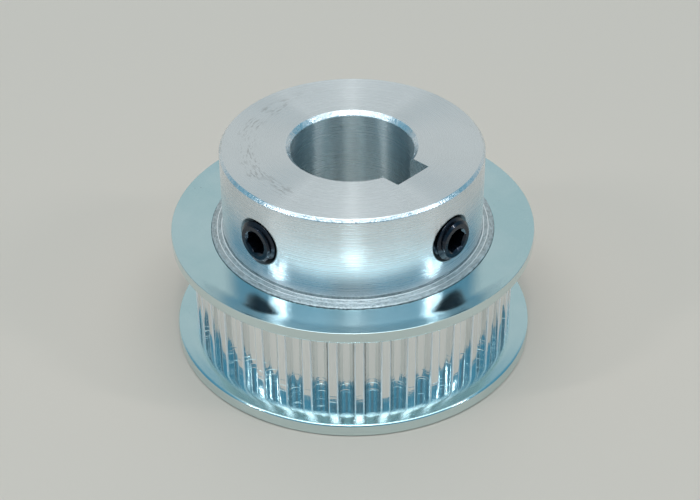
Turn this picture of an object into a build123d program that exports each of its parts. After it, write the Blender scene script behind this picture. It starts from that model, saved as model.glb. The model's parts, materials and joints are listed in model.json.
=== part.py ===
from build123d import *
import os
from math import cos, pi, radians, sin, tan

# Timing belt pulley for a belt of 3 mm pitch and up to 10 mm width. Millimetres.
# A one-piece turned and hobbed aluminium body, two steel flanges crimped onto it, and two set screws
# that clamp a keyed shaft.
# The origin is on the bore's axis, in the plane of the body's flanged end. +Z runs along the axis to the
# hub's face, +X points at the keyway, and the second set screw faces -Y.

# Whole body
overall_length = 25.0
hub_radius = 15.0
hub_chamfer = 0.35

# Teeth: the tips lie inside the pitch circle by the belt's pitch line offset
tooth_count = 40
belt_pitch = 3.0
pitch_line_offset = 0.381
tip_radius = tooth_count * belt_pitch / (2 * pi) - pitch_line_offset
groove_depth = 1.22
groove_bottom_radius = 0.81
groove_wall_angle = 15.0
tip_rounding = 0.1
groove_phase = -3.6  # degrees from the keyway to the middle of the nearest groove
tooth_width = 11.0
tooth_ring_inner_radius = 12.0  # inside the core that the ring joins

# Bore and keyway
bore_radius = 7.0
bore_chamfer = 0.5
keyway_width = 5.0
keyway_bottom = bore_radius + 2.3

# Flanges: flat discs whose rims flare away from the belt
flange_radius = 21.0
flange_thickness = 1.4
flare_rise = 0.38
bend_radius_from_axis = 19.5
bend_rounding = 0.9
rim_rounding = 0.1
punched_rounding = 0.25  # of the rim's edge on the belt's side, drawn in by the punch
end_flange_face = 0.45  # height of the end flange's flat outer face
end_tooth_face = end_flange_face + flange_thickness
hub_tooth_face = end_tooth_face + tooth_width
hub_flange_face = hub_tooth_face + flange_thickness

# Crimp: the body's seat for a flange ends in a lip that is rolled over the flange's countersunk hole
seat_radius = 16.0
lip_radius = 16.4
lip_crest_radius = 15.1
lip_height = 0.42
lip_edge_height = 0.16
end_face_radius = 14.6

# The rolling tool leaves a notch between each lip and the metal beside it
notch_radius = 14.85
end_notch_height = 0.22
hub_notch_height = 0.52
hub_notch_top_height = 0.7

# Set screws: M5 x 6 with a hexagon socket and a cup point, in tapped holes
key_screw_direction = Vector(1, 0, 0)
shaft_screw_direction = Vector(0, -1, 0)
screw_height = 19.4
tapped_radius = 2.5
screw_radius = 2.45
screw_length = 6.0
key_screw_stand_out = 0.8
shaft_screw_stand_out = 0.45
socket_end_chamfer = 0.42
socket_across_flats = 2.5
socket_depth = 2.6
socket_cone_depth = 0.7
point_chamfer = 1.2
cup_radius = 1.15
cup_depth = 0.65


def tooth_section():
    """The cross-section of the body's toothed ring, with its round-bottomed grooves."""
    centre = tip_radius - groove_depth + groove_bottom_radius
    past_tip = tip_radius + 0.5
    wall = radians(groove_wall_angle)
    half_mouth = groove_bottom_radius * cos(wall) + (
        past_tip - centre + groove_bottom_radius * sin(wall)
    ) * tan(wall)
    with BuildSketch(mode=Mode.PRIVATE) as groove:
        with BuildLine():
            bottom = CenterArc(
                (centre, 0), groove_bottom_radius, 90 + groove_wall_angle, 180 - 2 * groove_wall_angle
            )
            Polyline(bottom @ 0, (past_tip, half_mouth), (past_tip, -half_mouth), bottom @ 1)
        make_face()
    with BuildSketch(Plane.XY.offset(end_tooth_face)) as section:
        Circle(tip_radius)
        Circle(tooth_ring_inner_radius, mode=Mode.SUBTRACT)
        with PolarLocations(0, tooth_count, start_angle=groove_phase):
            add(groove.sketch, mode=Mode.SUBTRACT)
        tips = section.vertices().filter_by(lambda vertex: Vector(vertex).length > tip_radius - 0.01)
        fillet(tips, tip_rounding)
    return section.sketch


def lip_points(face, outward):
    """A lip's outline from its crest to the seat, over a flange face at this height."""
    return [
        (lip_crest_radius, face + outward * lip_height),
        (lip_radius - lip_edge_height, face + outward * lip_edge_height),
        (lip_radius, face),
        (seat_radius, face - outward * (lip_radius - seat_radius)),
    ]


def make_body():
    with BuildPart() as body:
        with BuildSketch(Plane.XZ):
            with BuildLine():
                Polyline(
                    (bore_radius, bore_chamfer),
                    (bore_radius + bore_chamfer, 0),
                    (end_face_radius, 0),
                    (notch_radius, end_flange_face - end_notch_height),
                    *lip_points(end_flange_face, -1),
                    *reversed(lip_points(hub_flange_face, 1)),
                    (notch_radius, hub_flange_face + hub_notch_height),
                    (hub_radius, hub_flange_face + hub_notch_top_height),
                    (hub_radius, overall_length - hub_chamfer),
                    (hub_radius - hub_chamfer, overall_length),
                    (bore_radius + bore_chamfer, overall_length),
                    (bore_radius, overall_length - bore_chamfer),
                    close=True,
                )
            make_face()
        revolve(axis=Axis.Z)
        extrude(tooth_section(), amount=tooth_width)
        with BuildSketch(Plane.XY):
            with Locations((keyway_bottom / 2, 0)):
                Rectangle(keyway_bottom, keyway_width)
        extrude(amount=overall_length, mode=Mode.SUBTRACT)
        for outward in (key_screw_direction, shaft_screw_direction):
            with BuildSketch(Plane(origin=(0, 0, screw_height), z_dir=outward)):
                Circle(tapped_radius)
            extrude(amount=hub_radius + 1, mode=Mode.SUBTRACT)
    return body


def make_flange(inner_face, outward):
    """A pressed steel flange. Its inner face guides the belt, and outward is the way its rim flares."""
    outer_face = inner_face + outward * flange_thickness
    rise = outward * flare_rise
    with BuildPart() as flange:
        with BuildSketch(Plane.XZ) as section:
            with BuildLine():
                Polyline(
                    (seat_radius, inner_face),
                    (bend_radius_from_axis, inner_face),
                    (flange_radius, inner_face + rise),
                    (flange_radius, outer_face + rise),
                    (bend_radius_from_axis, outer_face),
                    (lip_radius, outer_face),
                    (seat_radius, outer_face - outward * (lip_radius - seat_radius)),
                    close=True,
                )
            make_face()
            bends = section.vertices().filter_by_position(
                Axis.X, bend_radius_from_axis - 0.1, bend_radius_from_axis + 0.1
            )
            fillet(bends, bend_rounding)
            across = Axis((0, 0, 0), (0, outward, 0))  # the sketch's Y is the part's Z
            rim = section.vertices().filter_by_position(Axis.X, flange_radius - 0.01, flange_radius + 0.01)
            fillet(rim.sort_by(across)[0], punched_rounding)
            rim = section.vertices().filter_by_position(Axis.X, flange_radius - 0.01, flange_radius + 0.01)
            fillet(rim.sort_by(across)[-1], rim_rounding)
        revolve(axis=Axis.Z)
    return flange


def make_set_screw(outward, stand_out):
    """A set screw whose socket end stands out of the hub by stand_out."""
    centre = Vector(0, 0, screw_height)
    socket_end = Plane(centre + outward * (hub_radius + stand_out), x_dir=(0, 0, 1), z_dir=outward)
    point_end = socket_end.offset(-screw_length)
    with BuildPart() as screw:
        with BuildSketch(socket_end):
            Circle(screw_radius)
        extrude(amount=-screw_length)
        ends = screw.edges().filter_by(GeomType.CIRCLE).sort_by(Axis(centre, outward))
        chamfer(ends[-1], socket_end_chamfer)
        ends = screw.edges().filter_by(GeomType.CIRCLE).sort_by(Axis(centre, outward))
        chamfer(ends[0], point_chamfer)
        with BuildSketch(socket_end):
            RegularPolygon(socket_across_flats / 2, 6, major_radius=False)
        extrude(amount=-socket_depth, mode=Mode.SUBTRACT)
        with Locations(socket_end.offset(-socket_depth)):
            Cone(
                0,
                socket_across_flats / 2,
                socket_cone_depth,
                align=(Align.CENTER, Align.CENTER, Align.MAX),
                mode=Mode.SUBTRACT,
            )
        with Locations(point_end):
            Cone(
                cup_radius,
                0,
                cup_depth,
                align=(Align.CENTER, Align.CENTER, Align.MIN),
                mode=Mode.SUBTRACT,
            )
    return screw


os.makedirs("parts", exist_ok=True)

pulley_body = make_body()
pulley_body.part.label = "pulley_body"
export_step(pulley_body.part, "parts/pulley_body.step")

hub_flange = make_flange(hub_tooth_face, 1)
hub_flange.part.label = "hub_flange"
export_step(hub_flange.part, "parts/hub_flange.step")

end_flange = make_flange(end_tooth_face, -1)
end_flange.part.label = "end_flange"
export_step(end_flange.part, "parts/end_flange.step")

key_set_screw = make_set_screw(key_screw_direction, key_screw_stand_out)
key_set_screw.part.label = "key_set_screw"
export_step(key_set_screw.part, "parts/key_set_screw.step")

shaft_set_screw = make_set_screw(shaft_screw_direction, shaft_screw_stand_out)
shaft_set_screw.part.label = "shaft_set_screw"
export_step(shaft_set_screw.part, "parts/shaft_set_screw.step")
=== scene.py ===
import json
import math

import bpy
import numpy as np
from mathutils import Matrix, Vector


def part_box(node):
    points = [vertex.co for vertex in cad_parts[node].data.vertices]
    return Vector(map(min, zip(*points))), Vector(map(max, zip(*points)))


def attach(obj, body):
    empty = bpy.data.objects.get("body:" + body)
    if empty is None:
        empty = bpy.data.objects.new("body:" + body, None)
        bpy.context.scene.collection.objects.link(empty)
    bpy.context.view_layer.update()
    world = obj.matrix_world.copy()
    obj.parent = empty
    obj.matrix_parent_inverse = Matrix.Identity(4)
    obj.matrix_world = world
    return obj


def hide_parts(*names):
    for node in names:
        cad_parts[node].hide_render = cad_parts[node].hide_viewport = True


# Timing belt pulley: a turned aluminium body, two zinc plated flanges and two black set screws.
# Metres, in the row frame: +Z is the bore's axis, +X points at the keyway.

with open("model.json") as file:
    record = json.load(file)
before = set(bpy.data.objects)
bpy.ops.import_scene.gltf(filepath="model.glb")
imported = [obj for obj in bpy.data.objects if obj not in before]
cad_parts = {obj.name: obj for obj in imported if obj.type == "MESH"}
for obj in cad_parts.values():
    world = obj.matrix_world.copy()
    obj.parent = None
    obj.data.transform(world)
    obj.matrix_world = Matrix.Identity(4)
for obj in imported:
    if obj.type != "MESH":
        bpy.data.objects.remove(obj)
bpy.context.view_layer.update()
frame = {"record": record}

MM = 0.001
TURN = 2 * math.pi

# ---------------------------------------------------------------- sizes
mounts = {mount["name"]: mount for mount in frame["record"]["mounts"]}
hub_flange_low, hub_flange_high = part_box("hub_flange")

overall_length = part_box("pulley_body")[1].z
hub_radius = 15 * MM
hub_chamfer = 0.35 * MM
bore_radius = mounts["bore"]["dims"]["r_mm"] * MM
bore_chamfer = 0.5 * MM
keyway_half_width = 2.5 * MM
keyway_bottom = mounts["keyway"]["pos_m"][0]

tooth_count = 40
belt_pitch = 3 * MM
pitch_line_offset = 0.381 * MM  # of the belt's cord above the tooth tips
tip_radius = tooth_count * belt_pitch / TURN - pitch_line_offset
groove_depth = 1.22 * MM
groove_bottom_radius = 0.81 * MM
groove_wall_angle = math.radians(15)
tip_rounding = 0.13 * MM
groove_phase = math.radians(-3.6)  # from the keyway to the middle of the nearest groove

flange_radius = hub_flange_high.x
flange_thickness = 1.4 * MM
flare_rise = 0.38 * MM
bend_radius_from_axis = 19.5 * MM
hub_tooth_face = hub_flange_low.z
end_tooth_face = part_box("end_flange")[1].z
hub_flange_face = hub_tooth_face + flange_thickness
end_flange_face = end_tooth_face - flange_thickness

seat_radius = 16 * MM
lip_radius = 16.4 * MM
lip_crest_radius = 15.1 * MM
lip_unevenness = 0.03 * MM
notch_radius = 14.85 * MM

screw_height = mounts["key_screw_socket"]["pos_m"][2]
screw_radius = 2.45 * MM
screw_length = 6 * MM
thread_pitch = 0.8 * MM
thread_depth = 0.43 * MM
thread_clearance = 0.05 * MM
mouth_radius = 2.8 * MM  # of a tapped hole's countersink
mouth_depth = 0.35 * MM
point_chamfer = 1.2 * MM
cup_radius = 1.15 * MM
cup_depth = 0.65 * MM
cup_edge = 0.15 * MM
socket_end_chamfer = 0.42 * MM
socket_half_flats = 1.25 * MM
socket_depth = 2.6 * MM
socket_cone_depth = 0.7 * MM
key_screw_end = mounts["key_screw_socket"]["pos_m"][0]
shaft_screw_end = -mounts["shaft_screw_socket"]["pos_m"][1]


# ---------------------------------------------------------------- mesh helpers
past = 1 * MM  # how far a tool reaches past the metal it cuts
smooth_edge = 0.04 * MM  # the rounding of an edge that a tool has broken, and one step of a larger rounding
sharp_angle = math.radians(32)


def rounded(corners):
    """The closed outline through these corners, each (radius, z, rounding, finish), as (radius, z, finish).

    A long side gets one more row next to a rounding, so that smooth shading leaves the side straight.
    """
    long_side = 0.35 * MM
    beside = smooth_edge
    most_steps = 6
    outline = []
    for i, (radius, z, rounding, finish) in enumerate(corners):
        here = np.array((radius, z))
        if not rounding:
            outline.append((radius, z, finish))
            continue
        before = np.array(corners[i - 1][:2]) - here
        after = np.array(corners[(i + 1) % len(corners)][:2]) - here
        before_length, after_length = np.linalg.norm(before), np.linalg.norm(after)
        start = here + before / before_length * rounding
        end = here + after / after_length * rounding
        if before_length > long_side:
            outline.append((*(start + before / before_length * beside), corners[i - 1][3]))
        steps = min(most_steps, math.ceil(rounding / smooth_edge))
        for step in range(steps + 1):
            t = step / steps
            outline.append((*((1 - t) ** 2 * start + 2 * t * (1 - t) * here + t * t * end), finish))
        if after_length > long_side:
            outline.append((*(end + after / after_length * beside), finish))
    return outline


def new_object(name, points, faces, finishes=None):
    mesh = bpy.data.meshes.new(name)
    mesh.from_pydata([tuple(point) for point in points], [], faces)
    if finishes is not None:
        mesh.polygons.foreach_set("material_index", np.array(finishes, dtype=np.int32))
    piece = bpy.data.objects.new(name, mesh)
    bpy.context.scene.collection.objects.link(piece)
    return piece


def band(low, high, columns):
    """Quads between two rings of points, which start at the points low and high."""
    faces = []
    for column in range(columns):
        right = (column + 1) % columns
        faces.append((low + column, low + right, high + right, high + column))
    return faces


def fan(rim, columns, tip):
    """Triangles from a ring of points, which starts at the point rim, to a tip."""
    return [(rim + column, rim + (column + 1) % columns, tip) for column in range(columns)]


def turned_over(faces):
    """The same faces with their fronts on the other side, each from the same first point."""
    return [(face[0], *face[:0:-1]) for face in faces]


def lathe(name, outline, angles, row_shape, face_finish=None):
    """A solid of revolution about Z, whose outline is a list of (radius, z, finish).

    row_shape(radii, heights) gives a row its own radii and heights, and face_finish(finish, column) may
    give a face its own finish.
    """
    points, faces, finishes = [], [], []
    rows, columns = len(outline), len(angles)
    for row, (radius, z, finish) in enumerate(outline):
        radii, heights = row_shape(np.full(columns, radius), np.full(columns, z))
        points.append(np.stack([radii * np.cos(angles), radii * np.sin(angles), heights], axis=1))
        faces += band(row * columns, (row + 1) % rows * columns, columns)
        finishes += [face_finish(finish, column) if face_finish else finish for column in range(columns)]
    return new_object(name, np.concatenate(points), faces, finishes)


def even_angles(columns):
    return np.arange(columns) * TURN / columns


def wobble(angles, waves, seed):
    """A smooth random function of the angle, about -1 to 1, made of a few waves round the circle."""
    random = np.random.default_rng(seed)
    total = sum(np.sin(wave * angles + random.uniform(0, TURN)) * random.uniform(0.5, 1) for wave in waves)
    return total / math.sqrt(len(waves))


def boolean(target, cutter, operation):
    """Changes target's mesh by the cutter, and removes the cutter.

    A face keeps its finish only where its material is there already, so the cutter gets target's materials.
    """
    for material in target.data.materials:
        cutter.data.materials.append(material)
    modifier = target.modifiers.new("boolean", "BOOLEAN")
    modifier.operation = operation
    modifier.solver = "MANIFOLD"
    modifier.object = cutter
    evaluated = target.evaluated_get(bpy.context.evaluated_depsgraph_get())
    made = bpy.data.meshes.new_from_object(evaluated)
    target.modifiers.remove(modifier)
    target.data = made
    bpy.data.objects.remove(cutter)


def shade(piece):
    piece.data.shade_smooth()
    piece.data.set_sharp_from_angle(angle=sharp_angle)


# ---------------------------------------------------------------- toothed body
FACE, TURNED, CHAMFER, BORE, TEETH, TOOTH_EDGE, LIP, THREAD = range(8)


def tooth_half_pitch():
    """The outline from the middle of a groove to the middle of a land, as (angle, radius, on the edge)."""
    bottom_points, edge_points = 6, 4
    centre = tip_radius - groove_depth + groove_bottom_radius
    wall = groove_wall_angle
    path = []
    for turn in np.linspace(0, math.pi / 2 - wall, bottom_points):
        path.append((centre - groove_bottom_radius * math.cos(turn), groove_bottom_radius * math.sin(turn)))
    foot = np.array(path[-1])
    wall_way = np.array((math.cos(wall), math.sin(wall)))
    # how far up the wall the tip circle is
    along = foot @ wall_way
    climb = -along + math.sqrt(along * along - foot @ foot + tip_radius * tip_radius)
    corner = foot + climb * wall_way
    corner_angle = math.atan2(corner[1], corner[0])
    land_way = np.array((-math.sin(corner_angle), math.cos(corner_angle)))
    start = corner - wall_way * tip_rounding
    end = corner + land_way * tip_rounding
    path.append(tuple((foot + start) / 2))
    edge_start = len(path)
    for t in np.linspace(0, 1, edge_points):
        path.append(tuple((1 - t) ** 2 * start + 2 * t * (1 - t) * corner + t * t * end))
    outline = [(math.atan2(y, x), math.hypot(x, y), i >= edge_start) for i, (x, y) in enumerate(path)]
    half_pitch = TURN / tooth_count / 2
    land_start = outline[-1][0]
    for share in (0.5, 1):
        outline.append((land_start + (half_pitch - land_start) * share, tip_radius, False))
    return outline


def tooth_outline():
    """The angles and radii of all the teeth's outline, once round, and which of them are on an edge."""
    half = tooth_half_pitch()
    pitch = [(-angle, radius, edge) for angle, radius, edge in reversed(half[1:-1])] + half
    angles, radii, on_edge = [], [], []
    for tooth in range(tooth_count):
        centre = groove_phase + tooth * TURN / tooth_count
        angles += [centre + angle for angle, _, _ in pitch]
        radii += [radius for _, radius, _ in pitch]
        on_edge += [edge for _, _, edge in pitch]
    return np.array(angles), np.array(radii), on_edge


def lip_corners(face, outward):
    """A rolled lip from its crest to the seat, over the flange face at this height."""

    def height(above):
        return face + outward * above * MM

    return [
        (lip_crest_radius - 0.06 * MM, height(0.40), 0.03 * MM, LIP),
        (lip_crest_radius + 0.06 * MM, height(0.42), 0.04 * MM, LIP),
        (lip_crest_radius + 0.22 * MM, height(0.33), 0.04 * MM, LIP),
        (lip_crest_radius + 0.42 * MM, height(0.33), 0.04 * MM, LIP),
        (lip_crest_radius + 0.50 * MM, height(0.27), 0.03 * MM, LIP),
        (lip_crest_radius + 0.58 * MM, height(0.29), 0.03 * MM, LIP),
        (lip_radius - 0.20 * MM, height(0.19), 0.08 * MM, LIP),
        (lip_radius - 0.03 * MM, height(0.09), 0.04 * MM, LIP),
        (lip_radius - 0.06 * MM, height(0), 0, LIP),
        (seat_radius, face - outward * (lip_radius - seat_radius), 0, LIP),
    ]


def make_body(materials):
    angles, tooth_radii, on_edge = tooth_outline()
    edge = smooth_edge
    hub_lip = lip_corners(hub_flange_face, 1)
    end_lip = lip_corners(end_flange_face, -1)
    corners = [
        (bore_radius, bore_chamfer, edge, CHAMFER),
        (bore_radius + bore_chamfer, 0, edge, FACE),
        (notch_radius - 0.25 * MM, 0, edge, LIP),
        (notch_radius, end_flange_face - 0.22 * MM, 0.03 * MM, LIP),
        *end_lip,
        (seat_radius, end_tooth_face, 0, TEETH),
        (tip_radius, end_tooth_face, 0, TEETH),
        (tip_radius, hub_tooth_face, 0, TEETH),
        (seat_radius, hub_tooth_face, 0, TEETH),
        *reversed(hub_lip),
        (notch_radius, hub_flange_face + 0.38 * MM, 0.03 * MM, LIP),
        (notch_radius, hub_flange_face + 0.52 * MM, 0.03 * MM, LIP),
        (hub_radius - 0.08 * MM, hub_flange_face + 0.58 * MM, 0.02 * MM, TURNED),
        (hub_radius - 0.05 * MM, hub_flange_face + 0.70 * MM, 0.02 * MM, TURNED),
        (hub_radius, hub_flange_face + 0.74 * MM, 0.02 * MM, TURNED),
        (hub_radius, overall_length - hub_chamfer, edge, CHAMFER),
        (hub_radius - hub_chamfer, overall_length, edge, FACE),
        (bore_radius + bore_chamfer, overall_length, edge, CHAMFER),
        (bore_radius, overall_length - bore_chamfer, edge, BORE),
    ]
    lip_drift = wobble(angles, (3, 7, 13, 31, 57, 83, 121, 167), seed=5)
    lip_outer_width = 0.25 * MM

    def row_shape(radii, heights):
        if radii[0] == tip_radius:
            radii = tooth_radii
        elif abs(radii[0] - lip_radius) < lip_outer_width:
            radii = radii + lip_drift * lip_unevenness
        return radii, heights

    def face_finish(finish, column):
        if finish == TEETH and on_edge[column] and on_edge[(column + 1) % len(on_edge)]:
            return TOOTH_EDGE
        return finish

    body = lathe("turned_body", rounded(corners), angles, row_shape, face_finish)
    for material in materials:
        body.data.materials.append(material)
    screw_holes = (axis_frame(Vector((1, 0, 0))), axis_frame(Vector((0, -1, 0))))
    for seed, hole in enumerate(screw_holes):
        boolean(body, tapping_burr(hole, seed), "UNION")
    keyway_low = (0, -keyway_half_width, -past)
    keyway_high = (keyway_bottom, keyway_half_width, overall_length + past)
    boolean(body, block("keyway", keyway_low, keyway_high), "DIFFERENCE")
    # the tap and the countersink leave faces with the THREAD finish, painted dark for the shade in the holes
    tap_start, tap_end = 4 * MM, 17 * MM
    for hole in screw_holes:
        tap = threaded_rod("tap", screw_radius + thread_clearance, tap_start, tap_end, THREAD)
        tap.data.transform(hole)
        boolean(body, tap, "DIFFERENCE")
        boolean(body, countersink(hole), "DIFFERENCE")
    shade(body)
    return body


def block(name, low, high):
    """A broach, from the corner low to the corner high."""
    corners = [(x, y, z) for x in (low[0], high[0]) for y in (low[1], high[1]) for z in (low[2], high[2])]
    faces = [(0, 1, 3, 2), (4, 6, 7, 5), (0, 4, 5, 1), (2, 3, 7, 6), (0, 2, 6, 4), (1, 5, 7, 3)]
    return new_object(name, corners, faces, [BORE] * 6)


def axis_frame(outward):
    """The matrix from a screw's own frame, +Z outward from the bore's axis, to the row frame."""
    up = Vector((0, 0, 1))
    matrix = Matrix((up, outward.cross(up), outward)).transposed().to_4x4()
    matrix.translation = up * screw_height
    return matrix


def ring_on_hub(radius, angles, above):
    """Points round a hole's axis, this far above the hub's round side."""
    across = radius * np.sin(angles)
    return np.stack([radius * np.cos(angles), across, np.sqrt(hub_radius**2 - across**2) + above], axis=1)


def countersink(hole):
    """The tool that opens a tapped hole's mouth: a cone that follows the hub's round side."""
    columns = 120
    over_hub, under_hub, tip_depth = 0.5 * MM, 0.02 * MM, 1.2 * MM
    rings = ((mouth_radius, over_hub), (mouth_radius, -under_hub), (screw_radius, -mouth_depth))
    points = np.concatenate([ring_on_hub(radius, even_angles(columns), above) for radius, above in rings])
    points = [*points, (0, 0, hub_radius + over_hub), (0, 0, hub_radius - tip_depth)]
    top, tip = len(points) - 2, len(points) - 1
    faces = band(columns, 0, columns) + band(2 * columns, columns, columns)
    faces += fan(0, columns, top) + turned_over(fan(2 * columns, columns, tip))
    # painted shade: the countersink's faces take the dark finish of the tapped hole
    cone = new_object("countersink", points, faces, [THREAD] * len(faces))
    cone.data.transform(hole)
    return cone


def tapping_burr(hole, seed):
    """The thin raised ring that the tap leaves round the mouth of a hole, on the hub's round side."""
    columns = 120
    angles = even_angles(columns)
    drift = wobble(angles, (2, 5, 9, 17, 29, 41), seed + 20)
    height = (0.012 + 0.025 * np.clip(drift, -0.8, 1.6)) * MM
    # the section's corners, outer side first: radius, base and share of the burr's height
    section = [(2.96, -0.3, 0), (2.96, -0.02, 0), (2.86, 0, 0.55), (2.78, 0, 1), (2.3, 0, 1), (2.3, -0.3, 0)]
    points, faces = [], []
    for row, (radius, base, share) in enumerate(section):
        points.append(ring_on_hub(radius * MM, angles, base * MM + height * share))
        faces += band(row * columns, (row + 1) % len(section) * columns, columns)
    ring = new_object("burr", np.concatenate(points), faces, [LIP] * len(faces))
    ring.data.transform(hole)
    return ring


# ---------------------------------------------------------------- screws
def threaded_rod(name, crest_radius, start, end, finish):
    """A right-hand threaded rod along Z, from start to end, closed at both ends."""
    columns = 96
    root_radius = crest_radius - thread_depth
    near_root, near_crest = root_radius + 0.04 * MM, crest_radius - 0.02 * MM
    # one pitch of the thread, as (share of the pitch, radius): root, flank, crest, flank
    profile = [(0, root_radius), (0.16, root_radius), (0.22, near_root), (0.5, near_crest)]
    profile += [(0.55, crest_radius), (0.66, crest_radius), (0.71, near_crest), (0.97, near_root)]
    per_turn = len(profile)
    turns = math.ceil((end - start) / thread_pitch)
    angles = even_angles(columns)
    points, faces = [], []
    row_count = turns * per_turn + 1
    for row in range(row_count):
        turn, part = divmod(row, per_turn)
        share, radius = profile[part]
        height = start + (turn + share + angles / TURN) * thread_pitch
        points.append(np.stack([radius * np.cos(angles), radius * np.sin(angles), height], axis=1))
    points = list(np.concatenate(points))

    def at(row, column):
        return (row + per_turn * (column // columns)) * columns + column % columns

    for row in range(row_count - 1):
        for column in range(columns):
            if column == columns - 1 and row + 1 + per_turn > row_count - 1:
                continue
            faces.append((at(row, column), at(row, column + 1), at(row + 1, column + 1), at(row + 1, column)))
    last = row_count - 1
    lower_rim = [at(0, column) for column in range(columns)] + [at(row, 0) for row in range(per_turn, 0, -1)]
    upper_rim = [at(last, column) for column in range(columns)]
    upper_rim += [at(row, columns - 1) for row in range(last - 1, last - per_turn - 1, -1)]
    points += [(0, 0, start), (0, 0, end + 2 * thread_pitch)]
    for rim, hub, flip in ((lower_rim, len(points) - 2, True), (upper_rim, len(points) - 1, False)):
        for first, second in zip(rim, rim[1:] + rim[:1]):
            faces.append((second, first, hub) if flip else (first, second, hub))
    return new_object(name, points, faces, [finish] * len(faces))


def make_screw(name, outward, socket_end, hex_turn):
    """A cup point set screw: its thread, cut to a chamfered blank, then its hexagon socket."""
    columns = 96
    point_end = socket_end - screw_length
    edge = 0.05 * MM
    blank_radius = screw_radius + 0.01 * MM  # clear of the thread's crest
    blank_corners = [
        (0, point_end + cup_depth, 0, 0),
        (cup_radius, point_end, edge, 0),
        (cup_radius + cup_edge, point_end, edge, 0),
        (blank_radius, point_end + point_chamfer, 0, 0),
        (blank_radius, socket_end - socket_end_chamfer, edge, 0),
        (screw_radius - socket_end_chamfer, socket_end, edge, 0),
        (0, socket_end, 0, 0),
    ]
    cup, *rings, top = rounded(blank_corners)
    points = [(0, 0, cup[1])]
    for radius, z, _ in rings:
        points += [(radius * math.cos(angle), radius * math.sin(angle), z) for angle in even_angles(columns)]
    points.append((0, 0, top[1]))
    ring_starts = [1 + ring * columns for ring in range(len(rings))]
    faces = turned_over(fan(ring_starts[0], columns, 0)) + fan(ring_starts[-1], columns, len(points) - 1)
    for low, high in zip(ring_starts, ring_starts[1:]):
        faces += band(low, high, columns)
    blank = new_object("blank", points, faces, [0] * len(faces))
    thread_start, thread_end = 4 * MM, 18 * MM  # past both ends, and in step with the tapped holes
    screw = threaded_rod(name, screw_radius, thread_start, thread_end, 0)
    boolean(screw, blank, "INTERSECT")
    boolean(screw, hexagon_socket(socket_end, hex_turn), "DIFFERENCE")
    screw.data.transform(axis_frame(outward))
    shade(screw)
    return screw


def hexagon_socket(socket_end, hex_turn):
    """The tool that leaves a hexagon socket: a countersink, six flats and a drilled cone."""
    columns = 48
    half_side = math.pi / 6
    corner_radius = socket_half_flats / math.cos(half_side)
    angles = even_angles(columns) + math.radians(hex_turn)
    from_flat = (even_angles(columns) + half_side) % (2 * half_side) - half_side
    hexagon = socket_half_flats / np.cos(from_flat)
    floor = socket_end - socket_depth
    rings = [
        (np.full(columns, corner_radius + 0.2 * MM), socket_end + 0.1 * MM),
        (np.maximum(hexagon, corner_radius * 0.93), socket_end - 0.15 * MM),
        (hexagon, socket_end - 0.22 * MM),
        (hexagon, floor),
        (np.full(columns, socket_half_flats * 0.98), floor - 0.02 * MM),
    ]
    points = []
    for radii, z in rings:
        points += [(r * math.cos(angle), r * math.sin(angle), z) for r, angle in zip(radii, angles)]
    points += [(0, 0, rings[0][1]), (0, 0, floor - socket_cone_depth)]
    top, tip = len(points) - 2, len(points) - 1
    ring_starts = [ring * columns for ring in range(len(rings))]
    faces = fan(0, columns, top) + turned_over(fan(ring_starts[-1], columns, tip))
    for high, low in zip(ring_starts, ring_starts[1:]):
        faces += turned_over(band(high, low, columns))
    return new_object("socket", points, faces, [0] * len(faces))


# ---------------------------------------------------------------- flanges
def make_flange(name, tooth_face, outward, seed):
    """A pressed flange: flat where the belt's edge runs, then bent away from the belt out to its rim."""
    outer_face = tooth_face + outward * flange_thickness
    rise = outward * flare_rise
    corners = [
        (seat_radius, tooth_face, 0.05 * MM, 0),
        (bend_radius_from_axis, tooth_face, 0.5 * MM, 0),
        (flange_radius, tooth_face + rise, 0.3 * MM, 0),
        (flange_radius, outer_face + rise, 0.1 * MM, 0),
        (bend_radius_from_axis, outer_face, 0.5 * MM, 0),
        (lip_radius, outer_face, 0, 0),
        (seat_radius, outer_face - outward * (lip_radius - seat_radius), 0, 0),
    ]
    angles = even_angles(720)
    sag = np.abs(wobble(angles, (2, 3, 5, 8), seed)) * 0.03 * MM

    def row_shape(radii, heights):
        # the pressed rim isn't perfectly level
        outer = np.clip((radii - bend_radius_from_axis) / (flange_radius - bend_radius_from_axis), 0, 1)
        return radii, heights - outward * sag * outer

    outline = rounded(corners)
    if outward < 0:
        outline = [outline[0]] + outline[:0:-1]
    flange = lathe(name, outline, angles, row_shape)
    shade(flange)
    return flange


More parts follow.
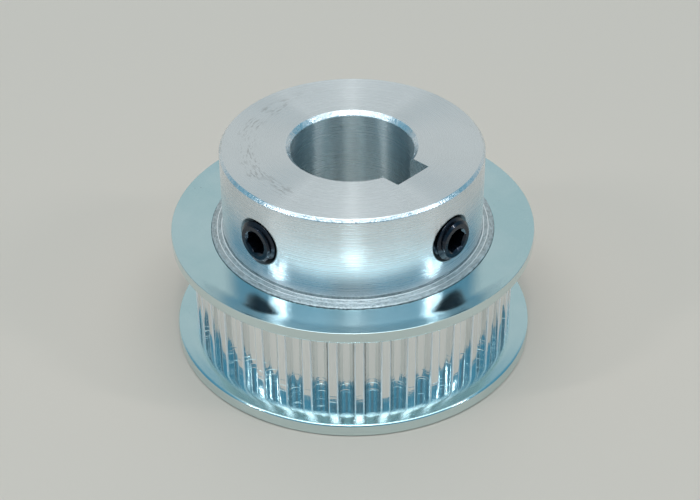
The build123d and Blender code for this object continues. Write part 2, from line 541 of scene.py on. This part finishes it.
# ---------------------------------------------------------------- finishes
class Finish:
    """A node material with short calls for the nodes it is made of."""

    def __init__(self, name, **shader_values):
        self.material = bpy.data.materials.new(name)
        self.material.use_nodes = True
        self.tree = self.material.node_tree
        self.tree.nodes.clear()
        output = self.tree.nodes.new("ShaderNodeOutputMaterial")
        self.shader = self.node("ShaderNodeBsdfPrincipled", shader_values)
        self.tree.links.new(self.shader.outputs[0], output.inputs[0])
        self.place = self.node("ShaderNodeTexCoord").outputs["Object"]

    def node(self, kind, inputs=None, **settings):
        made = self.tree.nodes.new(kind)
        for key, value in settings.items():
            setattr(made, key, value)
        for key, value in (inputs or {}).items():
            self.set(made, key, value)
        return made

    def set(self, node, key, value):
        if isinstance(value, bpy.types.NodeSocket):
            self.tree.links.new(value, node.inputs[key])
        else:
            node.inputs[key].default_value = value

    def math(self, operation, first, second=0.0):
        return self.node("ShaderNodeMath", {0: first, 1: second}, operation=operation).outputs[0]

    def vector(self, operation, first, second=(0, 0, 0)):
        made = self.node("ShaderNodeVectorMath", {0: first, 1: second}, operation=operation)
        return made.outputs["Value" if operation in ("LENGTH", "DOT_PRODUCT") else 0]

    def noise(self, vector, scale, detail=2.0, roughness=0.5):
        inputs = {"Vector": vector, "Scale": scale, "Detail": detail, "Roughness": roughness}
        return self.node("ShaderNodeTexNoise", inputs).outputs["Fac"]

    def ramp(self, value, low, high, to_low=0.0, to_high=1.0):
        inputs = {"Value": value, "From Min": low, "From Max": high, "To Min": to_low, "To Max": to_high}
        return self.node("ShaderNodeMapRange", inputs).outputs[0]

    def mix(self, factor, first, second):
        made = self.node("ShaderNodeMix", data_type="RGBA")
        for key, value in ((0, factor), (6, first), (7, second)):
            self.set(made, key, value)
        return made.outputs[2]

    def bump(self, height, distance):
        inputs = {"Height": height, "Distance": distance, "Strength": 1.0}
        return self.node("ShaderNodeBump", inputs).outputs[0]

    def radius(self):
        return self.vector("LENGTH", self.vector("MULTIPLY", self.place, (1, 1, 0)))

    def height(self):
        return self.node("ShaderNodeSeparateXYZ", {0: self.place}).outputs[2]

    def along_cut(self):
        """A distance that grows across the turning marks, on a face, a round side and a chamfer alike."""
        height_share = 0.83  # not 1, or it would stand still across a chamfer
        return self.math("ADD", self.radius(), self.math("MULTIPLY", self.height(), height_share))

    def rings(self, spacing, detail=1.0):
        """Noise that is the same all round the axis, as turning marks are."""
        inputs = {"W": self.along_cut(), "Scale": 1 / spacing, "Detail": detail}
        return self.node("ShaderNodeTexNoise", inputs, noise_dimensions="1D").outputs["Fac"]

    def arcs(self, around, spacing, detail=2.0):
        """Noise in arcs round the axis: about this many changes round it, and one each spacing across."""
        flat = self.vector("NORMALIZE", self.vector("MULTIPLY", self.place, (1, 1, 0)))
        direction = self.vector("MULTIPLY", flat, (around / 6, around / 6, 0))
        lift = self.math("MULTIPLY", self.along_cut(), 1 / spacing)
        place = self.vector("ADD", direction, self.node("ShaderNodeCombineXYZ", {2: lift}).outputs[0])
        return self.noise(place, 1, detail)

    def near(self, value, middle, half_width, fade):
        """1 where the value is within half_width of the middle, and 0 past the fade."""
        away = self.math("ABSOLUTE", self.math("SUBTRACT", value, middle))
        return self.ramp(away, half_width + fade, half_width)

    def threads(self, vector, scale, width, detail=1.0):
        """Thin wandering lines, where noise passes through its middle."""
        return self.near(self.noise(vector, scale, detail), 0.5, 0.0, width)

    def specks(self, scale, threshold):
        return self.ramp(self.noise(self.place, scale, 1), threshold, threshold + 0.03)


ALUMINIUM = (0.855, 0.89, 0.915, 1)
DULL_ALUMINIUM = (0.66, 0.69, 0.70, 1)
GRIMY_ALUMINIUM = (0.42, 0.44, 0.45, 1)


def turned(name, smooth, rough, spacing):
    """Bare turned aluminium: its marks run round the axis and stretch highlights across themselves."""
    finish = Finish(name, **{"Metallic": 1.0, "Anisotropic": 1.0, "Anisotropic Rotation": 0.25})
    tangent = finish.node("ShaderNodeTangent", direction_type="RADIAL", axis="Z").outputs[0]
    finish.set(finish.shader, "Tangent", tangent)
    finish.set(finish.shader, "Roughness", finish.ramp(finish.rings(spacing), 0.3, 0.7, smooth, rough))
    return finish


def faced_aluminium():
    finish = turned("faced_aluminium", 0.17, 0.31, 0.07 * MM)
    # a worn ring on the hub's face, most of it on one side
    one_side = finish.ramp(finish.vector("DOT_PRODUCT", finish.place, (-0.71, -0.71, 0)), 0, 9 * MM)
    worn_ring = finish.math("MULTIPLY", one_side, finish.near(finish.radius(), 12 * MM, 0.7 * MM, 0.6 * MM))
    scuffs = finish.ramp(finish.arcs(70, 0.25 * MM, 4), 0.52, 0.60)
    patches = finish.ramp(finish.noise(finish.place, 330, 2), 0.42, 0.60)
    scuffed = finish.math("MULTIPLY", finish.math("MULTIPLY", worn_ring, scuffs), patches)
    cloud = finish.ramp(finish.noise(finish.place, 220, 3), 0.35, 0.65, 0, 0.14)
    worn = finish.mix(cloud, ALUMINIUM, DULL_ALUMINIUM)
    worn = finish.mix(scuffed, worn, (0.62, 0.64, 0.65, 1))
    finish.set(finish.shader, "Base Color", finish.mix(finish.specks(2600, 0.78), worn, GRIMY_ALUMINIUM))
    finish.set(finish.shader, "Normal", finish.bump(finish.rings(0.4 * MM, 2), 0.0006 * MM))
    return finish.material


def turned_aluminium():
    finish = turned("turned_aluminium", 0.17, 0.36, 0.06 * MM)
    cloud = finish.ramp(finish.noise(finish.place, 260, 3), 0.4, 0.7, 0, 0.35)
    worn = finish.mix(cloud, ALUMINIUM, DULL_ALUMINIUM)
    finish.set(finish.shader, "Base Color", finish.mix(finish.specks(3000, 0.79), worn, GRIMY_ALUMINIUM))
    scratches = finish.threads(finish.vector("MULTIPLY", finish.place, (60, 60, 240)), 1, 0.006)
    marks = finish.math("ADD", finish.rings(0.5 * MM, 3), finish.math("MULTIPLY", scratches, 0.3))
    finish.set(finish.shader, "Normal", finish.bump(marks, 0.0013 * MM))
    return finish.material


def bored_aluminium():
    finish = turned("bored_aluminium", 0.22, 0.36, 0.08 * MM)
    # painted light: the wall is lighter and bluer than the other aluminium, partly the metal's tint and
    # partly painted light for the deep bore; its vertical light and dark bands are painted reflections
    painted_reflection_bands = finish.ramp(finish.arcs(26, 60 * MM, 1), 0.4, 0.62, 0, 0.6)
    finish.set(finish.shader, "Base Color", finish.mix(painted_reflection_bands, (0.90, 0.98, 1, 1), (0.75, 0.82, 0.85, 1)))
    scratches = finish.threads(finish.vector("MULTIPLY", finish.place, (90, 90, 200)), 1, 0.012)
    marks = finish.math("ADD", finish.arcs(5, 0.22 * MM, 2), finish.math("MULTIPLY", scratches, 0.8))
    finish.set(finish.shader, "Normal", finish.bump(marks, 0.004 * MM))
    return finish.material


def chamfered_aluminium():
    finish = Finish("chamfered_aluminium", **{"Metallic": 1.0})
    chatter = finish.noise(finish.place, 1900, 3, 0.7)
    finish.set(finish.shader, "Roughness", finish.ramp(chatter, 0.3, 0.7, 0.2, 0.38))
    cloud = finish.ramp(finish.noise(finish.place, 500, 2), 0.45, 0.7, 0, 0.5)
    finish.set(finish.shader, "Base Color", finish.mix(cloud, ALUMINIUM, DULL_ALUMINIUM))
    finish.set(finish.shader, "Normal", finish.bump(chatter, 0.06 * MM))
    return finish.material


def hobbed_aluminium():
    finish = Finish("hobbed_aluminium", **{"Metallic": 1.0})
    streaks = finish.noise(finish.vector("MULTIPLY", finish.place, (5200, 5200, 300)), 1, 2)
    finish.set(finish.shader, "Roughness", finish.ramp(streaks, 0.3, 0.7, 0.05, 0.14))
    finish.set(finish.shader, "Base Color", finish.mix(streaks, (0.78, 0.80, 0.80, 1), (0.92, 0.94, 0.94, 1)))
    # scratches run round the pulley, most of them near the end flange
    level = finish.vector("MULTIPLY", finish.place, (130, 130, 900))
    worn = finish.near(finish.height(), end_tooth_face + 1.6 * MM, 1.3 * MM, 1.2 * MM)
    patches = finish.math("MULTIPLY", worn, finish.ramp(finish.noise(finish.place, 420, 1), 0.42, 0.55))
    scratches = finish.math("MULTIPLY", finish.threads(level, 1, 0.03, 2), patches)
    height = finish.math("ADD", finish.math("MULTIPLY", streaks, 0.04), scratches)
    finish.set(finish.shader, "Normal", finish.bump(height, 0.012 * MM))
    return finish.material


def tooth_edge_aluminium():
    # painted highlight: the rounded tooth edges are only partly metal, and their near-white colour stands in
    # for the lines of light along them
    finish = Finish("tooth_edge_aluminium", **{"Metallic": 0.4})
    nicks = finish.noise(finish.place, 2400, 2, 0.6)
    finish.set(finish.shader, "Roughness", finish.ramp(nicks, 0.3, 0.7, 0.3, 0.5))
    finish.set(finish.shader, "Base Color", finish.mix(nicks, (0.9, 0.92, 0.93, 1), (1.0, 1.0, 1.0, 1)))
    finish.set(finish.shader, "Normal", finish.bump(nicks, 0.01 * MM))
    return finish.material


def rolled_aluminium():
    """Metal smeared by the rolling tool: grainy, with painted highlight lines on its crest and ridge and a
    painted shadow line at its outer edge.
    """
    finish = Finish("rolled_aluminium", **{"Metallic": 0.7, "Coat Weight": 0.5, "Coat Roughness": 0.16})
    smear = finish.arcs(160, 0.10 * MM, 3)
    grain = finish.noise(finish.place, 5200, 3, 0.7)
    mottle = finish.ramp(finish.math("ADD", smear, grain), 0.8, 1.2)
    colour = finish.mix(mottle, (0.28, 0.32, 0.335, 1), (0.60, 0.665, 0.685, 1))
    # painted highlights: near-white lines on the crest and the ridge stand in for glints of light on them
    crest = finish.near(finish.radius(), lip_crest_radius + 0.05 * MM, 0.04 * MM, 0.04 * MM)
    ridge = finish.near(finish.radius(), lip_crest_radius + 0.58 * MM, 0.03 * MM, 0.04 * MM)
    colour = finish.mix(finish.math("MAXIMUM", crest, ridge), colour, (0.97, 0.98, 0.98, 1))
    # painted shadow: a dark ragged line at the outer edge, where the lip meets the flange
    gap_shadow = finish.near(finish.radius(), lip_radius, 0.03 * MM, 0.07 * MM)
    gap_shadow = finish.math("MULTIPLY", gap_shadow, finish.ramp(finish.arcs(240, 0.3 * MM, 2), 0.44, 0.56))
    finish.set(finish.shader, "Base Color", finish.mix(gap_shadow, colour, (0.14, 0.16, 0.165, 1)))
    finish.set(finish.shader, "Roughness", finish.ramp(mottle, 0, 1, 0.28, 0.48))
    finish.set(finish.shader, "Normal", finish.bump(mottle, 0.012 * MM))
    return finish.material


def tapped_aluminium():
    """The walls of a tapped hole and its countersink, painted dark for the shade inside the hole."""
    finish = Finish("tapped_aluminium", **{"Metallic": 1.0})
    shade_mottle = finish.noise(finish.place, 900, 2)
    finish.set(finish.shader, "Base Color", finish.mix(shade_mottle, (0.05, 0.055, 0.06, 1), (0.20, 0.21, 0.22, 1)))
    finish.set(finish.shader, "Roughness", finish.ramp(shade_mottle, 0.3, 0.7, 0.3, 0.5))
    return finish.material


def zinc_plate():
    """Bright zinc with a blue passivation, greyer on the sheared rim."""
    finish = Finish("zinc_plate", **{"Metallic": 1.0})
    cloud = finish.noise(finish.place, 120, 3, 0.6)
    grain = finish.noise(finish.place, 4200, 3, 0.7)
    plate = finish.mix(finish.ramp(cloud, 0.35, 0.65), (0.52, 0.74, 0.79, 1), (0.61, 0.80, 0.845, 1))
    plate = finish.mix(finish.ramp(grain, 0.3, 0.7, 0, 0.35), plate, (0.66, 0.86, 0.90, 1))
    rim = finish.near(finish.radius(), flange_radius, 0.04 * MM, 0.08 * MM)
    plate = finish.mix(rim, plate, (0.66, 0.77, 0.77, 1))
    plate = finish.mix(finish.specks(2600, 0.78), plate, (0.42, 0.55, 0.58, 1))
    finish.set(finish.shader, "Base Color", plate)
    cloud_rough = finish.ramp(cloud, 0.3, 0.7, 0.09, 0.14)
    grain_rough = finish.ramp(grain, 0.3, 0.7, 0, 0.06)
    finish.set(finish.shader, "Roughness", finish.math("ADD", cloud_rough, grain_rough))
    finish.set(finish.shader, "Normal", finish.bump(grain, 0.009 * MM))
    return finish.material


def black_oxide():
    finish = Finish("black_oxide", **{"Metallic": 0.85, "Coat Weight": 0.5, "Coat Roughness": 0.10})
    cloud = finish.noise(finish.place, 700, 3, 0.6)
    grain = finish.noise(finish.place, 6000, 3, 0.7)
    colour = finish.mix(cloud, (0.005, 0.008, 0.014, 1), (0.018, 0.027, 0.046, 1))
    finish.set(finish.shader, "Base Color", colour)
    finish.set(finish.shader, "Roughness", finish.ramp(grain, 0.3, 0.7, 0.20, 0.34))
    finish.set(finish.shader, "Normal", finish.bump(grain, 0.004 * MM))
    return finish.material


def pale_floor():
    finish = Finish("pale_floor", Roughness=0.55)
    cloud = finish.noise(finish.place, 9, 3, 0.5)
    colour = finish.mix(cloud, (0.645, 0.553, 0.48, 1), (0.67, 0.578, 0.505, 1))
    finish.set(finish.shader, "Base Color", colour)
    return finish.material


# ---------------------------------------------------------------- the object
def place_piece(piece, body, node):
    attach(piece, body)
    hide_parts(node)


body_materials = [
    faced_aluminium(),
    turned_aluminium(),
    chamfered_aluminium(),
    bored_aluminium(),
    hobbed_aluminium(),
    tooth_edge_aluminium(),
    rolled_aluminium(),
    tapped_aluminium(),
]
zinc = zinc_plate()
oxide = black_oxide()
turned_body = make_body(body_materials)
place_piece(turned_body, "pulley", "pulley_body")
for piece_name, node, face, outward, seed in (
    ("hub_flange_plate", "hub_flange", hub_tooth_face, 1, 3),
    ("end_flange_plate", "end_flange", end_tooth_face, -1, 8),
):
    flange_plate = make_flange(piece_name, face, outward, seed)
    flange_plate.data.materials.append(zinc)
    place_piece(flange_plate, "pulley", node)
for piece_name, body, node, outward, socket_end, hex_turn in (
    ("key_screw_threaded", "key_screw", "key_set_screw", Vector((1, 0, 0)), key_screw_end, 8),
    ("shaft_screw_threaded", "shaft_screw", "shaft_set_screw", Vector((0, -1, 0)), shaft_screw_end, 20),
):
    screw = make_screw(piece_name, outward, socket_end, hex_turn)
    screw.data.materials.clear()
    screw.data.materials.append(oxide)
    place_piece(screw, body, node)


# ---------------------------------------------------------------- floor, light and camera
def add_floor():
    half = 3.0
    corners = [(-half, -half, 0), (half, -half, 0), (half, half, 0), (-half, half, 0)]
    floor = new_object("floor", corners, [(0, 1, 2, 3)])
    floor.data.materials.append(pale_floor())


def view_direction(azimuth, elevation):
    """From the object: azimuth 0 is towards -Y, and 90 towards +X."""
    a, e = math.radians(azimuth), math.radians(elevation)
    return Vector((math.sin(a) * math.cos(e), -math.cos(a) * math.cos(e), math.sin(e)))


camera_azimuth = 44
camera_elevation = 35.93
camera_distance = 200.04 * MM
camera_aim = Vector((0, 0, 10.364 * MM))
camera_roll = math.radians(-0.52)
camera_yaw = math.radians(-0.12)
camera_lens = 87.62


def add_camera():
    data = bpy.data.cameras.new("camera")
    data.lens = camera_lens
    data.clip_start = 0.005
    camera = bpy.data.objects.new("camera", data)
    bpy.context.scene.collection.objects.link(camera)
    back = view_direction(camera_azimuth, camera_elevation)
    turn = (-back).to_track_quat("-Z", "Y").to_matrix()
    turn = Matrix.Rotation(-camera_yaw, 3, "Z") @ turn @ Matrix.Rotation(camera_roll, 3, "Z")
    camera.matrix_world = Matrix.Translation(camera_aim + back * camera_distance) @ turn.to_4x4()
    bpy.context.scene.camera = camera


def add_softbox(name, azimuth, elevation, width, height, watts):
    """A light that faces the object, this many degrees round from the camera."""
    distance = 0.6
    data = bpy.data.lights.new(name, "AREA")
    data.shape = "RECTANGLE"
    data.size, data.size_y = width, height
    data.energy = watts
    light = bpy.data.objects.new(name, data)
    bpy.context.scene.collection.objects.link(light)
    away = view_direction(camera_azimuth + azimuth, elevation)
    turn = away.to_track_quat("Z", "Y").to_matrix().to_4x4()
    light.matrix_world = Matrix.Translation(camera_aim + away * distance) @ turn


def add_surroundings():
    """A bright ceiling, a bright wall behind the object and a dim room in front of it."""
    world = bpy.data.worlds.new("surroundings")
    bpy.context.scene.world = world
    world.use_nodes = True
    tree = world.node_tree
    background = tree.nodes["Background"]
    direction = tree.nodes.new("ShaderNodeTexCoord").outputs["Generated"]

    def share_towards(way, start, end):
        """0 to 1, as the direction turns towards this way."""
        facing = tree.nodes.new("ShaderNodeVectorMath")
        facing.operation = "DOT_PRODUCT"
        facing.inputs[1].default_value = way
        tree.links.new(direction, facing.inputs[0])
        share = tree.nodes.new("ShaderNodeMapRange")
        share.interpolation_type = "SMOOTHSTEP"
        share.inputs["From Min"].default_value = start
        share.inputs["From Max"].default_value = end
        tree.links.new(facing.outputs["Value"], share.inputs["Value"])
        return share.outputs[0]

    def blend(share, first, second):
        made = tree.nodes.new("ShaderNodeMix")
        made.data_type = "RGBA"
        tree.links.new(share, made.inputs[0])
        for key, value in ((6, first), (7, second)):
            if isinstance(value, tuple):
                made.inputs[key].default_value = value
            else:
                tree.links.new(value, made.inputs[key])
        return made.outputs[2]

    wall = (0.55, 0.59, 0.59, 1)
    room = (0.10, 0.30, 0.42, 1)
    far_table = (0.25, 0.36, 0.42, 1)
    dark_corner = (0.12, 0.20, 0.25, 1)
    back_ceiling = (0.62, 0.66, 0.67, 1)
    front_ceiling = (2.05, 2.28, 2.36, 1)
    up = Vector((0, 0, 1))
    forward = view_direction(camera_azimuth, 0)
    raised = view_direction(camera_azimuth, 34)
    front = blend(share_towards(up, 0.20, 0.38), far_table, room)
    front = blend(share_towards(raised, 0.93, 0.985), front, dark_corner)
    colour = blend(share_towards(forward, -0.70, -0.40), wall, front)
    ceiling = blend(share_towards(forward, -0.25, 0.15), back_ceiling, front_ceiling)
    colour = blend(share_towards(up, 0.75, 0.87), colour, ceiling)
    tree.links.new(colour, background.inputs[0])


add_floor()
add_camera()
add_softbox("left_softbox", azimuth=-66, elevation=37, width=0.02, height=0.11, watts=0.3)
add_softbox("right_softbox", azimuth=71, elevation=37, width=0.02, height=0.11, watts=0.3)
add_softbox("front_softbox", azimuth=0, elevation=72, width=0.06, height=0.06, watts=0.34)
add_surroundings()
bpy.context.scene.view_settings.view_transform = "Standard"
